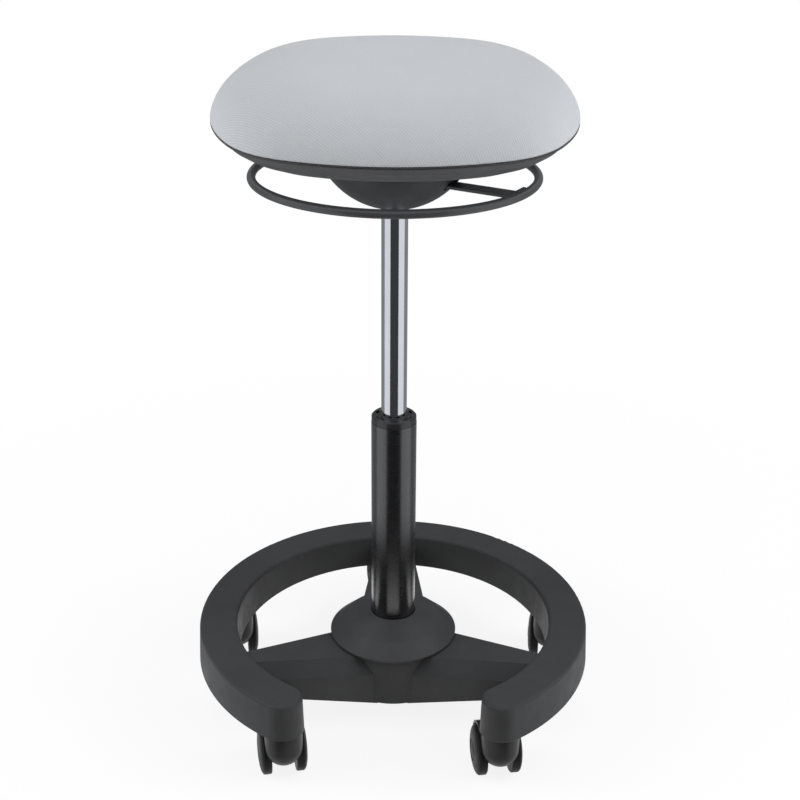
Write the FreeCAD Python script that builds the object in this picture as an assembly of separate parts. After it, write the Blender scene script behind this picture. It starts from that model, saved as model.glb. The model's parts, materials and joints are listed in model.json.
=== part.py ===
import FreeCAD, Part
import math
import os
from FreeCAD import Placement, Rotation, Vector

# Wobble stool: a tilting seat on a gas column over a C-shaped ring base with five castors.
# Millimetres. The origin is on the column axis at floor level, +Z up, the gap in the base towards -Y.
# The seat is drawn at the top of its travel, level, as it stands before anyone sits on it.

os.makedirs("parts", exist_ok=True)

UP = Vector(0, 0, 1)

# Ring base
RING_TOP = 109.0
RING_HEIGHT = 42.0
RING_OUTER = 224.0
RING_INNER = 181.0
RING_DRAFT = 2.0
RING_WALL = 4.5
RING_SKIN = 5.0
RING_EDGE = 4.0
RING_RIB = 3.0
RING_RIB_COUNT = 20
RING_RIB_STEP = 2.0
RING_BOTTOM = RING_TOP - RING_HEIGHT
TIP_ANGLE = 35.2
SIDE_ANGLE = 18.0
CASTER_CIRCLE = (RING_OUTER + RING_INNER) / 2.0
CASTER_ANGLES = [90.0, 180.0 - SIDE_ANGLE, 270.0 - TIP_ANGLE, 270.0 + TIP_ANGLE, SIDE_ANGLE]

# Hub and spokes of the base
HUB_RADIUS = 66.0
HUB_TOP = 86.0
HUB_BOTTOM = 27.0
HUB_SKIN = 6.0
HUB_LIP = 4.0
HUB_LIP_HOLE = 20.0
HUB_BOSS_WALL = 6.0
HUB_FIN = 4.0
HUB_FIN_COUNT = 6
SPOKE_ANGLES = (90.0, 210.0, 330.0)
SPOKE_INNER_STATION = 45.0
SPOKE_TOP_HALF = 32.0
SPOKE_TOP_HALF_OUT = 11.5
SPOKE_CHAMFER_WIDTH = 12.0
SPOKE_CHAMFER_DROP = 19.0
SPOKE_TOP_Z = HUB_TOP - 4.0
SPOKE_TOP_Z_OUT = RING_TOP - 2.0
SPOKE_BOTTOM_Z = HUB_BOTTOM - 3.0
SPOKE_WALL = 5.0
SPOKE_RIB = 4.0

# Column
TUBE_RADIUS = 25.0
TUBE_WALL = 2.0
TUBE_TOP = 355.0
TUBE_FLOOR = 4.0
SLEEVE_COLLAR = 8.0
SLEEVE_STEP = 0.3
SLEEVE_LENGTH = 58.0
SLEEVE_WALL = 3.0
SLEEVE_BEVEL = 1.5
FUNNEL_DEPTH = 2.5
FUNNEL_RIM = 3.0
SLOT_COUNT = 8
SLOT_LENGTH = 7.0
SLOT_WIDTH = 2.0
SLOT_DEPTH = 5.0
RUN_FIT = 0.05
GUIDE_FIT = 0.08
PASS_GAP = 0.3

# Hub cover
COVER_RADIUS = 73.0
COVER_EDGE_Z = HUB_TOP + 1.6
COVER_RIM = 1.6
COVER_BEVEL_RADIUS = 56.0
COVER_BEVEL_Z = COVER_EDGE_Z + 16.4
COVER_TOP_Z = COVER_BEVEL_Z + 10.5
COVER_WALL = 3.0
COVER_GAP = 0.5
COVER_FOOT = 57.0

# Gas spring
CYLINDER_RADIUS = 14.0
CYLINDER_WALL = 2.0
CYLINDER_TOP = 619.0
CYLINDER_LENGTH = 374.0
CONE_LENGTH = 16.0
CONE_TAPER = 0.7
VALVE_BLOCK = 12.0
GLAND_LENGTH = 12.0
ROD_RADIUS = 5.0
ROD_STUB_RADIUS = 4.0
PISTON_LENGTH = 12.0
PISTON_GAP = 4.0
RACE_THICKNESS = 2.0
RACE_RADIUS = 14.0
ROLLER_RADIUS = 2.2
ROLLER_COUNT = 10
BUMP_LENGTH = 38.0
BUMP_RADIUS = 11.0
BUMP_GROOVE = 2.5
CLIP_THICKNESS = 1.5
CLIP_WIDTH = 3.5
CYLINDER_BOTTOM = CYLINDER_TOP - CYLINDER_LENGTH
CONE_TIP_RADIUS = CYLINDER_RADIUS - CONE_TAPER

# Tilting head inside the bowl
TILT_Z = CYLINDER_TOP + 62.0
BOWL_RADIUS = 84.5
BOWL_WALL = 3.0
BOWL_RIM_Z = TILT_Z - 12.0
BOWL_HOLE_GAP = 1.2
HEAD_FLANGE_RADIUS = 27.0
HEAD_FLANGE = 4.0
HEAD_BOSS_WALL = 5.5
HEAD_OVERLAP = 4.0
KNEE_RISE = 17.0
KNEE_INSET = 7.0
SHIN_RISE = 24.0
CALF_INSET = 9.0
HEAD_BOSS_TOP = CYLINDER_TOP - 2.0
YOKE_INNER = 39.0
YOKE_OUTER = 51.0
YOKE_HALF_WIDTH = 9.0
EYE_RADIUS = 12.0
BUSH_RADIUS = 7.0
TRUNNION_RADIUS = 5.0
CROSS_OUTER = YOKE_INNER - 3.0
CROSS_INNER = CROSS_OUTER - 9.0
CROSS_HEIGHT = 18.0
SHOULDER_RADIUS = 8.0
SHOULDER_GAP = 0.6

# Release ring and lever
LEVER_ANGLE = -30.0
LEVER_TRAVEL = 0.05
RELEASE_RADIUS = 146.0
RELEASE_ROD = 4.5
BAR_WIDTH = 20.0
BAR_THICKNESS = 3.0
BAR_TOP = CYLINDER_TOP + 11.0
RELEASE_Z = BAR_TOP + 1.0
TAB_TOP = BAR_TOP + 5.0
PIVOT_RADIUS = 26.0
PIVOT_DROP = 6.0
PIN_RADIUS = 2.5
LUG_HALF_WIDTH = 6.0
LUG_SIDE_GAP = 0.4
LUG_RADIUS = 5.0
LUG_THICKNESS = 12.0
PIN_PROUD = 0.5
EAR_THICKNESS = 3.0
EAR_RADIUS = 6.0
BUTTON_RADIUS = 4.0
BUTTON_LENGTH = 17.0
BUTTON_GAP = 0.3
BUTTON_DOME = 0.8
SLOT_SIDE_GAP = 2.0
SLOT_GAP = 2.0
BAR_BOTTOM = BAR_TOP - BAR_THICKNESS
BUTTON_TOP = BAR_BOTTOM - BUTTON_GAP
PIVOT_Z = BAR_BOTTOM - PIVOT_DROP

# Seat
SEAT_RIM_Z = TILT_Z + 8.0
SEAT_SLOPE = 3.2
SEAT_FRONT = 163.0
SEAT_REAR = 192.0
SEAT_HALF_WIDTH = 188.0
SEAT_WIDEST_Y = 25.0
FRONT_CURVE = 290.0
REAR_CURVE = 330.0
SIDE_CURVE = 260.0
FRONT_CORNER = 105.0
REAR_CORNER = 95.0
CUSHION_CROWN = 62.0
CUSHION_TUCK = 2.0
BOARD_SCALE = 0.80
BOARD_THICKNESS = 10.0
PLATE_HALF_X = 110.0
PLATE_HALF_Y = 92.0
PLATE_THICKNESS = 3.0
PLATE_CORNER = 18.0
PLATE_BOTTOM = TILT_Z + 24.0
WINDOW_START = 62.0
WINDOW_LENGTH = 34.0
WINDOW_WIDTH = 16.0
WINDOW_CORNER = 6.0
SHELL_DEPTH = 37.0
SHELL_WALL = 3.0
SHELL_GAP = 1.2
POST_RADIUS = 7.0
BUFFER_INNER = 71.0
BUFFER_WALL = 8.0
BUFFER_HEIGHT = 24.5
BUFFER_BEVEL = 2.0

# Castors
WHEEL_RADIUS = 27.5
WHEEL_WIDTH = 13.0
TREAD_WIDTH = 8.0
CAP_RADIUS = 12.0
WHEEL_STEP = 1.0
WHEEL_OUTER_FACE = 26.5
TRAIL = 20.0
HOOD_RADIUS = 20.5
HOOD_BOTTOM = 23.0
HOOD_GAP = 1.5
HOOD_WALL = 3.0
FENDER_EDGE = 6.0
WELL_GAP = 1.2
WEB_GAP = 1.5
AXLE_BOSS = 7.0
AXLE_RADIUS = 3.0
STEM_RADIUS = 5.5
STEM_SEAT = 14.0
STEM_TOP_GAP = 2.0
COLLAR_RADIUS = 9.0
SOCKET_RADIUS = 8.0
SOCKET_BOSS = 13.0
CASTER_YAWS = {1: 18.0, 2: 9.0, 3: 11.0, 4: 8.0, 5: -6.0}
HOOD_TOP = RING_BOTTOM - HOOD_GAP
WHEEL_INNER_FACE = WHEEL_OUTER_FACE - WHEEL_WIDTH
WEB_HALF_WIDTH = WHEEL_INNER_FACE - WEB_GAP


def save(name, shape):
    shape.exportStep("parts/" + name + ".step")


def rod(radius, z0, z1, x=0.0, y=0.0):
    return Part.makeCylinder(radius, z1 - z0, Vector(x, y, z0), UP)


def pipe(outer, inner, z0, z1):
    return rod(outer, z0, z1).cut(rod(inner, z0 - 1.0, z1 + 1.0))


def polygon(points):
    return Part.makePolygon([Vector(*p) for p in points] + [Vector(*points[0])])


def turned(profile):
    """Solid of revolution about Z from (radius, height) points."""
    face = Part.Face(polygon([(r, 0.0, z) for r, z in profile]))
    return face.revolve(Vector(0, 0, 0), UP, 360)


def turn(shape, degrees):
    out = shape.copy()
    out.rotate(Vector(0, 0, 0), UP, degrees)
    return out


def polar(radius, degrees, z=0.0):
    a = math.radians(degrees)
    return Vector(radius * math.cos(a), radius * math.sin(a), z)


def arc(centre, radius, a0, a1):
    """Arc about a vertical axis at centre, from angle a0 to a1 in degrees."""
    ends = [centre + polar(radius, a) for a in (a0, (a0 + a1) / 2.0, a1)]
    return Part.Arc(*ends).toShape()


def ring_outline(outer, inner, z):
    """C-shaped outline with round tips about the two front castor axes, in arcs under a half circle."""
    middle = (outer + inner) / 2.0
    tip = (outer - inner) / 2.0
    left, right = 270.0 - TIP_ANGLE, -90.0 + TIP_ANGLE
    centre = Vector(0, 0, z)
    tip_left, tip_right = polar(middle, left, z), polar(middle, right, z)
    east, west = SIDE_ANGLE, 180.0 - SIDE_ANGLE
    runs = [(centre, outer, right, east), (centre, outer, east, west), (centre, outer, west, left)]
    runs += [(tip_left, tip, left, left + 90.0), (tip_left, tip, left + 90.0, left + 180.0)]
    runs += [(centre, inner, left, west), (centre, inner, west, east), (centre, inner, east, right)]
    runs += [(tip_right, tip, right + 180.0, right + 270.0), (tip_right, tip, right + 270.0, right + 360.0)]
    return Part.Wire([arc(*run) for run in runs])


def ring_body(outer, inner, z0, z1, draft):
    wires = [ring_outline(outer + draft, inner - draft / 2.0, z0), ring_outline(outer, inner, z1)]
    return Part.makeLoft(wires, True, True)


def spoke_section(station, inset, drop):
    """Cross-section of a spoke along +X: flat top, chamfered shoulders, upright sides."""
    share = (station - SPOKE_INNER_STATION) / (RING_INNER - SPOKE_INNER_STATION)
    half = SPOKE_TOP_HALF + share * (SPOKE_TOP_HALF_OUT - SPOKE_TOP_HALF) - inset
    top = SPOKE_TOP_Z + share * (SPOKE_TOP_Z_OUT - SPOKE_TOP_Z) - inset
    low = SPOKE_BOTTOM_Z + share * (RING_BOTTOM - SPOKE_BOTTOM_Z) - drop
    wide = half + SPOKE_CHAMFER_WIDTH
    shoulder = top - SPOKE_CHAMFER_DROP
    right = [(station, -wide, low), (station, -wide, shoulder), (station, -half, top)]
    left = [(station, half, top), (station, wide, shoulder), (station, wide, low)]
    return polygon(right + left)


def spoke(inset, drop, start, end):
    return Part.makeLoft([spoke_section(start, inset, drop), spoke_section(end, inset, drop)], True, True)


def base_frame():
    solid = ring_body(RING_OUTER, RING_INNER, RING_BOTTOM, RING_TOP, RING_DRAFT)
    top_edges = [e for e in solid.Edges if e.BoundBox.ZMin > RING_TOP - 0.01]
    solid = solid.makeFillet(RING_EDGE, top_edges)
    arm = spoke(0.0, 0.0, SPOKE_INNER_STATION, RING_INNER + RING_WALL)
    arms = [turn(arm, a) for a in SPOKE_ANGLES]
    within = rod(RING_INNER + RING_WALL / 2.0, 0.0, RING_TOP)
    arms = [a.common(within) for a in arms]
    hub = rod(HUB_RADIUS, HUB_BOTTOM, HUB_TOP)
    solid = solid.fuse(arms + [hub])

    # Ribbed hollow of the ring, open underneath
    ceiling = RING_TOP - RING_SKIN
    hollow = ring_body(RING_OUTER - RING_WALL, RING_INNER + RING_WALL, RING_BOTTOM - 1.0, ceiling, 0.0)
    ribs = []
    for k in range(RING_RIB_COUNT):
        a = 90.0 + (k + 0.5) * 360.0 / RING_RIB_COUNT
        corner = Vector(0, -RING_RIB / 2.0, RING_BOTTOM + RING_RIB_STEP)
        rib = Part.makeBox(RING_OUTER, RING_RIB, RING_HEIGHT, corner)
        ribs.append(turn(rib, a))
    for a in CASTER_ANGLES:
        c = polar(CASTER_CIRCLE, a)
        ribs.append(rod(SOCKET_BOSS, RING_BOTTOM, RING_TOP, c.x, c.y))
    solid = solid.cut(hollow.cut(ribs))

    # Hollows of the spokes and of the hub, open underneath
    reach = RING_INNER - SPOKE_WALL
    for a in SPOKE_ANGLES:
        pocket = spoke(SPOKE_WALL, 1.0, HUB_RADIUS + SPOKE_WALL, reach)
        middle = Vector((HUB_RADIUS + reach) / 2.0, -HUB_RADIUS, 0)
        web = Part.makeBox(SPOKE_RIB, 2.0 * HUB_RADIUS, RING_TOP, middle)
        spine = Part.makeBox(reach, SPOKE_RIB, RING_TOP, Vector(0, -SPOKE_RIB / 2.0, 0))
        solid = solid.cut(turn(pocket.cut([web, spine]), a))
    boss = TUBE_RADIUS + HUB_BOSS_WALL
    well = pipe(HUB_RADIUS - SPOKE_WALL, boss, HUB_BOTTOM - 1.0, HUB_TOP - HUB_SKIN)
    fin = Part.makeBox(HUB_RADIUS, HUB_FIN, HUB_TOP, Vector(0, -HUB_FIN / 2.0, 0))
    fins = [turn(fin, SPOKE_ANGLES[2] + k * 360.0 / HUB_FIN_COUNT) for k in range(HUB_FIN_COUNT)]
    solid = solid.cut(well.cut(fins))

    # Bore for the column with a lip that carries it, and the castor sockets
    solid = solid.cut(rod(TUBE_RADIUS, HUB_BOTTOM + HUB_LIP, HUB_TOP + 1.0))
    solid = solid.cut(rod(HUB_LIP_HOLE, HUB_BOTTOM - 1.0, HUB_BOTTOM + HUB_LIP + 1.0))
    for a in CASTER_ANGLES:
        c = polar(CASTER_CIRCLE, a)
        solid = solid.cut(rod(SOCKET_RADIUS, RING_BOTTOM - 1.0, RING_TOP - RING_SKIN, c.x, c.y))
    return solid.removeSplitter()


def hub_cover():
    bore = TUBE_RADIUS + COVER_GAP
    outside = [(bore, COVER_TOP_Z), (COVER_BEVEL_RADIUS, COVER_BEVEL_Z)]
    outside += [(COVER_RADIUS, COVER_EDGE_Z + COVER_RIM), (COVER_RADIUS, COVER_EDGE_Z)]
    inside = [(COVER_RADIUS - COVER_WALL, COVER_EDGE_Z)]
    inside += [(COVER_BEVEL_RADIUS - 1.0, COVER_BEVEL_Z - COVER_WALL), (bore, COVER_TOP_Z - COVER_WALL)]
    spigot = pipe(COVER_FOOT, COVER_FOOT - COVER_WALL, HUB_TOP, COVER_TOP_Z)
    under = turned([(0.0, HUB_TOP), (COVER_RADIUS, HUB_TOP)] + outside[::-1][1:3] + [(0.0, COVER_TOP_Z)])
    return turned(outside + inside).fuse(spigot.common(under)).removeSplitter()


def column_tube():
    foot = HUB_BOTTOM + HUB_LIP
    tube = pipe(TUBE_RADIUS, TUBE_RADIUS - TUBE_WALL, foot, TUBE_TOP)
    floor = pipe(TUBE_RADIUS - TUBE_WALL, ROD_STUB_RADIUS + PASS_GAP, foot, foot + TUBE_FLOOR)
    return tube.fuse(floor).removeSplitter()


def guide_sleeve():
    """Plastic guide in the tube's mouth: two lands, a waist and a slotted funnel-shaped collar."""
    bore = CYLINDER_RADIUS + GUIDE_FIT
    inside = TUBE_RADIUS - TUBE_WALL
    low, high = TUBE_TOP - SLEEVE_LENGTH, TUBE_TOP + SLEEVE_COLLAR
    waist = inside - SLEEVE_WALL
    collar = TUBE_RADIUS - SLEEVE_STEP
    profile = [(bore, low), (inside, low), (inside, low + SLEEVE_COLLAR), (waist, low + SLEEVE_COLLAR)]
    profile += [(waist, TUBE_TOP - SLEEVE_COLLAR), (inside, TUBE_TOP - SLEEVE_COLLAR), (inside, TUBE_TOP)]
    profile += [(collar, TUBE_TOP), (collar, high - SLEEVE_BEVEL), (collar - SLEEVE_BEVEL, high)]
    profile += [(collar - FUNNEL_RIM, high), (bore + 1.0, high - FUNNEL_DEPTH), (bore, high - FUNNEL_DEPTH)]
    sleeve = turned(profile)
    circle = (bore + collar) / 2.0
    corner = Vector(circle - SLOT_WIDTH / 2.0, -SLOT_LENGTH / 2.0, high - SLOT_DEPTH)
    slot = Part.makeBox(SLOT_WIDTH, SLOT_LENGTH, SLOT_DEPTH + 1.0, corner)
    return sleeve.cut([turn(slot, (k + 0.5) * 360.0 / SLOT_COUNT) for k in range(SLOT_COUNT)])


FLOOR_TOP = HUB_BOTTOM + HUB_LIP + TUBE_FLOOR
CAGE_BOTTOM = FLOOR_TOP + RACE_THICKNESS + RUN_FIT
CAGE_TOP = CAGE_BOTTOM + 2.0 * ROLLER_RADIUS
BUMP_BOTTOM = CAGE_TOP + RACE_THICKNESS
PISTON_BOTTOM = CYLINDER_BOTTOM + GLAND_LENGTH + PISTON_GAP
BORE_RADIUS = CYLINDER_RADIUS - CYLINDER_WALL


def race(z0, bore):
    return pipe(RACE_RADIUS, bore, z0, z0 + RACE_THICKNESS)


def roller_cage():
    """Flat cage with its short rollers held in it, between the two races."""
    middle = (CAGE_BOTTOM + CAGE_TOP) / 2.0
    cage = pipe(RACE_RADIUS - 1.0, ROD_STUB_RADIUS + RUN_FIT, middle - 1.0, middle + 1.0)
    start, end = ROD_STUB_RADIUS + 3.0, RACE_RADIUS - 2.0
    roller = Part.makeCylinder(ROLLER_RADIUS, end - start, Vector(start, 0, middle), Vector(1, 0, 0))
    return cage.fuse([turn(roller, k * 360.0 / ROLLER_COUNT) for k in range(ROLLER_COUNT)])


def piston_rod():
    stub_bottom = HUB_BOTTOM + HUB_LIP - 2.0 * CLIP_THICKNESS
    stub = rod(ROD_STUB_RADIUS, stub_bottom, BUMP_BOTTOM)
    shaft = rod(ROD_RADIUS, BUMP_BOTTOM, PISTON_BOTTOM)
    piston = rod(BORE_RADIUS - RUN_FIT, PISTON_BOTTOM, PISTON_BOTTOM + PISTON_LENGTH)
    return stub.fuse([shaft, piston]).removeSplitter()


def rod_clip():
    top = HUB_BOTTOM + HUB_LIP
    outer = ROD_STUB_RADIUS + CLIP_WIDTH
    clip = pipe(outer, ROD_STUB_RADIUS, top - CLIP_THICKNESS, top)
    corner = Vector(0, -ROD_STUB_RADIUS / 2.0, top - 2.0 * CLIP_THICKNESS)
    mouth = Part.makeBox(outer + 1.0, ROD_STUB_RADIUS, 3.0 * CLIP_THICKNESS, corner)
    return clip.cut(mouth)


def bump_stop():
    z0, z1 = BUMP_BOTTOM, BUMP_BOTTOM + BUMP_LENGTH
    waist = BUMP_RADIUS - BUMP_GROOVE
    profile = [(ROD_RADIUS, z0), (BUMP_RADIUS, z0)]
    step = BUMP_LENGTH / 4.0
    for k in range(1, 4):
        z = z0 + k * step
        profile += [(BUMP_RADIUS, z - 2.0), (waist, z), (BUMP_RADIUS, z + 2.0)]
    profile += [(BUMP_RADIUS, z1 - 2.0), (BUMP_RADIUS - 2.0, z1), (ROD_RADIUS, z1)]
    return turned(profile)


def gas_cylinder():
    inside_top = CYLINDER_TOP - VALVE_BLOCK
    valve = BUTTON_RADIUS + RUN_FIT
    profile = [(BORE_RADIUS, CYLINDER_BOTTOM), (CYLINDER_RADIUS, CYLINDER_BOTTOM)]
    profile += [(CYLINDER_RADIUS, CYLINDER_TOP - CONE_LENGTH), (CONE_TIP_RADIUS, CYLINDER_TOP)]
    profile += [(valve, CYLINDER_TOP), (valve, inside_top), (BORE_RADIUS, inside_top)]
    return turned(profile)


def cylinder_gland():
    return pipe(BORE_RADIUS, ROD_RADIUS + RUN_FIT, CYLINDER_BOTTOM, CYLINDER_BOTTOM + GLAND_LENGTH)


def valve_button():
    shank = rod(BUTTON_RADIUS, BUTTON_TOP - BUTTON_LENGTH, BUTTON_TOP - BUTTON_DOME)
    ball = (BUTTON_RADIUS ** 2 + BUTTON_DOME ** 2) / (2.0 * BUTTON_DOME)
    dome = Part.makeSphere(ball, Vector(0, 0, BUTTON_TOP - ball))
    dome = dome.common(rod(BUTTON_RADIUS, BUTTON_TOP - BUTTON_DOME, BUTTON_TOP + 1.0))
    return shank.fuse(dome).removeSplitter()


FLOOR_Z = TILT_Z - math.sqrt((BOWL_RADIUS - BOWL_WALL) ** 2 - HEAD_FLANGE_RADIUS ** 2)


def eye(inner, outer):
    """Round boss on the +X side about the tilt centre, for one of the four bushes."""
    return Part.makeCylinder(EYE_RADIUS, outer - inner, Vector(inner, 0, TILT_Z), Vector(1, 0, 0))


def eye_bore(inner, outer):
    start = Vector(inner - 1.0, 0, TILT_Z)
    return Part.makeCylinder(BUSH_RADIUS, outer - inner + 2.0, start, Vector(1, 0, 0))


def across(radius, x0, x1, y, z):
    """Round bar along X from x0 to x1."""
    return Part.makeCylinder(radius, x1 - x0, Vector(x0, y, z), Vector(1, 0, 0))


def lever_axle(radius, half):
    """Round bar along the lever's pivot, before it is turned to the lever's angle."""
    return Part.makeCylinder(radius, 2.0 * half, Vector(PIVOT_RADIUS, -half, PIVOT_Z), Vector(0, 1, 0))


def yoke_arm():
    """One of the two arms that carry the cross, on the +X side."""
    foot = CYLINDER_RADIUS + HEAD_BOSS_WALL - HEAD_OVERLAP
    knee = FLOOR_Z + KNEE_RISE
    side = [(foot, FLOOR_Z), (HEAD_FLANGE_RADIUS, FLOOR_Z), (YOKE_OUTER - KNEE_INSET, knee)]
    side += [(YOKE_OUTER, knee + SHIN_RISE), (YOKE_OUTER, TILT_Z), (YOKE_INNER, TILT_Z)]
    side += [(YOKE_INNER, knee + SHIN_RISE + 2.0), (YOKE_INNER - CALF_INSET, HEAD_BOSS_TOP), (foot, HEAD_BOSS_TOP)]
    blade = Part.Face(polygon([(s, -YOKE_HALF_WIDTH, z) for s, z in side]))
    blade = blade.extrude(Vector(0, 2.0 * YOKE_HALF_WIDTH, 0))
    return blade.fuse(eye(YOKE_INNER, YOKE_OUTER)).cut(eye_bore(YOKE_INNER, YOKE_OUTER))


def lever_lug():
    """Lug that carries the lever's pin, on the +X side."""
    flange_top = FLOOR_Z + HEAD_FLANGE
    wide = 2.0 * LUG_HALF_WIDTH
    foot = CYLINDER_RADIUS + HEAD_BOSS_WALL - HEAD_OVERLAP
    corner = Vector(PIVOT_RADIUS - LUG_THICKNESS / 2.0, -LUG_HALF_WIDTH, flange_top - 1.0)
    post = Part.makeBox(LUG_THICKNESS, wide, PIVOT_Z - flange_top + 1.0, corner)
    web = Part.makeBox(PIVOT_RADIUS - foot, wide, HEAD_FLANGE + 4.0, Vector(foot, -LUG_HALF_WIDTH, FLOOR_Z))
    return post.fuse([lever_axle(LUG_RADIUS, LUG_HALF_WIDTH), web])


def tilt_head():
    """Cast head on the cylinder's cone: flange, boss, two yoke arms and the lever's lug."""
    body = rod(HEAD_FLANGE_RADIUS, FLOOR_Z, FLOOR_Z + HEAD_FLANGE)
    body = body.fuse(rod(CYLINDER_RADIUS + HEAD_BOSS_WALL, FLOOR_Z, HEAD_BOSS_TOP))
    body = body.fuse([turn(yoke_arm(), 90.0), turn(yoke_arm(), 270.0)])
    body = body.fuse([turn(lever_lug(), LEVER_ANGLE)])
    body = body.cut(turn(lever_axle(PIN_RADIUS, 2.0 * LUG_HALF_WIDTH), LEVER_ANGLE))
    seat = CYLINDER_TOP - CONE_LENGTH
    cone = turned([(0, seat), (CYLINDER_RADIUS, seat), (CONE_TIP_RADIUS, CYLINDER_TOP), (0, CYLINDER_TOP)])
    body = body.cut(cone.fuse(rod(CYLINDER_RADIUS, CYLINDER_BOTTOM, seat)))
    return body.removeSplitter()


def bowl_cover():
    ball = Part.makeSphere(BOWL_RADIUS, Vector(0, 0, TILT_Z))
    inner = Part.makeSphere(BOWL_RADIUS - BOWL_WALL, Vector(0, 0, TILT_Z))
    bowl = ball.common(rod(BOWL_RADIUS + 1.0, TILT_Z - BOWL_RADIUS - 1.0, BOWL_RIM_Z))
    bowl = bowl.cut(inner.common(rod(BOWL_RADIUS, FLOOR_Z, TILT_Z + 1.0)))
    bowl = bowl.cut(rod(CYLINDER_RADIUS + BOWL_HOLE_GAP, TILT_Z - BOWL_RADIUS - 1.0, FLOOR_Z + 1.0))
    # The bar dips on its far side while the ring is lifted on the near one
    wide = BAR_WIDTH + 2.0 * SLOT_SIDE_GAP
    high = BAR_THICKNESS + 2.0 * SLOT_GAP
    rise = (BOWL_RADIUS - PIVOT_RADIUS) * LEVER_TRAVEL
    fall = (BOWL_RADIUS + PIVOT_RADIUS) * LEVER_TRAVEL
    corner = Vector(HEAD_FLANGE_RADIUS, -wide / 2.0, BAR_BOTTOM - SLOT_GAP)
    near = Part.makeBox(BOWL_RADIUS, wide, high + rise, corner)
    far = Part.makeBox(BOWL_RADIUS, wide, high + fall, corner - UP * fall)
    return bowl.cut([turn(near, LEVER_ANGLE), turn(far, LEVER_ANGLE + 180.0)])


def release_ring():
    return Part.makeTorus(RELEASE_RADIUS, RELEASE_ROD, Vector(0, 0, RELEASE_Z))


def lever_bar():
    """Flat bar across the ring with turned-up ends and two ears on the pivot pin."""
    reach = RELEASE_RADIUS - RELEASE_ROD + 1.0
    half = BAR_WIDTH / 2.0
    bar = Part.makeBox(2.0 * reach, BAR_WIDTH, BAR_THICKNESS, Vector(-reach, -half, BAR_BOTTOM))
    for x in (-reach, reach - BAR_THICKNESS):
        bar = bar.fuse(Part.makeBox(BAR_THICKNESS, BAR_WIDTH, TAB_TOP - BAR_BOTTOM, Vector(x, -half, BAR_BOTTOM)))
    inner = LUG_HALF_WIDTH + LUG_SIDE_GAP
    for y in (-inner - EAR_THICKNESS, inner):
        corner = Vector(PIVOT_RADIUS - EAR_RADIUS, y, PIVOT_Z)
        plate = Part.makeBox(2.0 * EAR_RADIUS, EAR_THICKNESS, PIVOT_DROP, corner)
        nose = Part.makeCylinder(EAR_RADIUS, EAR_THICKNESS, Vector(PIVOT_RADIUS, y, PIVOT_Z), Vector(0, 1, 0))
        bar = bar.fuse([plate, nose])
    bar = turn(bar.cut(lever_axle(PIN_RADIUS + RUN_FIT, BAR_WIDTH)), LEVER_ANGLE)
    return bar.cut(release_ring()).removeSplitter()


def lever_pin():
    half = LUG_HALF_WIDTH + LUG_SIDE_GAP + EAR_THICKNESS + PIN_PROUD
    return turn(lever_axle(PIN_RADIUS, half), LEVER_ANGLE)


def gimbal_cross():
    """Cross ring with four shouldered trunnions for the bushes."""
    half = CROSS_HEIGHT / 2.0
    ring = pipe(CROSS_OUTER, CROSS_INNER, TILT_Z - half, TILT_Z + half)
    root = CROSS_INNER + 2.0
    shoulder = across(SHOULDER_RADIUS, root, YOKE_INNER - SHOULDER_GAP, 0.0, TILT_Z)
    trunnion = across(TRUNNION_RADIUS, root, YOKE_OUTER + 1.0, 0.0, TILT_Z)
    for k in range(4):
        ring = ring.fuse([turn(shoulder, 90.0 * k), turn(trunnion, 90.0 * k)])
    return ring.removeSplitter()


def trunnion_bush(angle):
    outer = across(BUSH_RADIUS, YOKE_INNER, YOKE_OUTER, 0.0, TILT_Z)
    inner = across(TRUNNION_RADIUS + RUN_FIT, YOKE_INNER - 1.0, YOKE_OUTER + 1.0, 0.0, TILT_Z)
    return turn(outer.cut(inner), angle)


def meeting_point(c1, r1, c2, r2, near):
    """Point at distance r1 from c1 and r2 from c2, the one nearer to near."""
    gap = c2 - c1
    d = gap.Length
    along = (r1 * r1 - r2 * r2 + d * d) / (2.0 * d)
    away = math.sqrt(r1 * r1 - along * along)
    unit = gap * (1.0 / d)
    across = Vector(-unit.y, unit.x, 0)
    choices = [c1 + unit * along + across * s for s in (away, -away)]
    return min(choices, key=lambda p: (p - near).Length)


def seat_outline(scale):
    """Seat outline in its own level plane: broad front and rear curves, side curves, round corners."""
    front = Vector(0, FRONT_CURVE - SEAT_FRONT, 0)
    rear = Vector(0, SEAT_REAR - REAR_CURVE, 0)
    side = Vector(SEAT_HALF_WIDTH - SIDE_CURVE, SEAT_WIDEST_Y, 0)
    low = meeting_point(front, FRONT_CURVE - FRONT_CORNER, side, SIDE_CURVE - FRONT_CORNER, Vector(80, -60, 0))
    high = meeting_point(rear, REAR_CURVE - REAR_CORNER, side, SIDE_CURVE - REAR_CORNER, Vector(80, 80, 0))
    a = front + (low - front).normalize() * FRONT_CURVE
    b = side + (low - side).normalize() * SIDE_CURVE
    c = side + (high - side).normalize() * SIDE_CURVE
    d = rear + (high - rear).normalize() * REAR_CURVE
    centres = [(low, FRONT_CORNER, a, b), (side, SIDE_CURVE, b, c), (high, REAR_CORNER, c, d)]
    right = []
    for centre, radius, start, end in centres:
        middle = centre + ((start - centre) + (end - centre)).normalize() * radius
        right.append((start, middle, end))
    mirror = [tuple(Vector(-p.x, p.y, 0) for p in reversed(tri)) for tri in reversed(right)]
    nose = (Vector(-a.x, a.y, 0), Vector(0, -SEAT_FRONT, 0), a)
    back = (d, Vector(0, SEAT_REAR, 0), Vector(-d.x, d.y, 0))
    runs = [nose] + right + [back] + mirror
    return [tuple(p * scale for p in tri) for tri in runs]


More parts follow.
